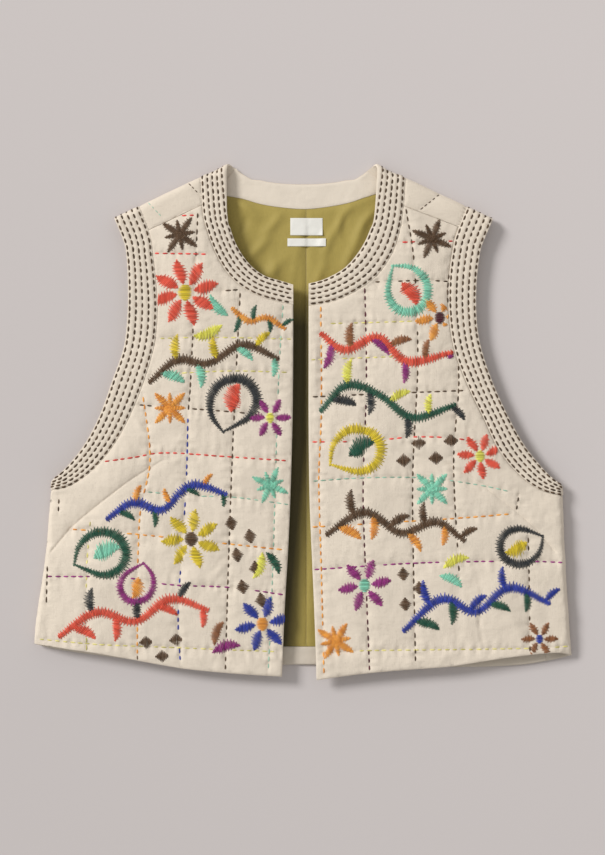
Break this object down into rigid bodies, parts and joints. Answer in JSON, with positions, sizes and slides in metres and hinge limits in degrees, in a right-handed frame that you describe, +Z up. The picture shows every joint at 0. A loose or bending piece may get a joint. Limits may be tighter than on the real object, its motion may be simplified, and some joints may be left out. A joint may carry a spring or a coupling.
{
  "type": "quilted waistcoat",
  "caption": "Cropped quilted cotton waistcoat with an open front, round neck, stitched neck and armhole bands, bust darts, embroidered fronts and an olive lining, laid flat on its back.",
  "frame": {"origin": "middle of the garment's bounding box, on the surface that it lies on", "axes": "+Z up from the surface, +Y from the hem to the neck, +X to the right as the front is looked at"},
  "size_m": [0.5612, 0.538, 0.0214],
  "materials": {
    "shell_cotton": "matt unbleached cotton, quilted",
    "band_cotton": "matt unbleached cotton, stitched in close rows",
    "facing_cotton": "matt unbleached cotton",
    "lining_cotton": "soft sheen, olive cotton",
    "label_tape": "woven tape, bare",
    "stitch_thread": "thick cotton thread",
    "embroidery_thread": "satin stitch in stranded cotton, several colours"
  },
  "bodies": {
    "root": {"back": "shell_cotton", "front_left": "shell_cotton", "front_right": "shell_cotton", "neck_band": "band_cotton", "armhole_band_left": "band_cotton", "armhole_band_right": "band_cotton", "neck_facing": "facing_cotton", "hem_facing": "facing_cotton", "lining_left": "lining_cotton", "lining_right": "lining_cotton", "label_main": "label_tape", "label_care": "label_tape"}
  },
  "joints": []
}
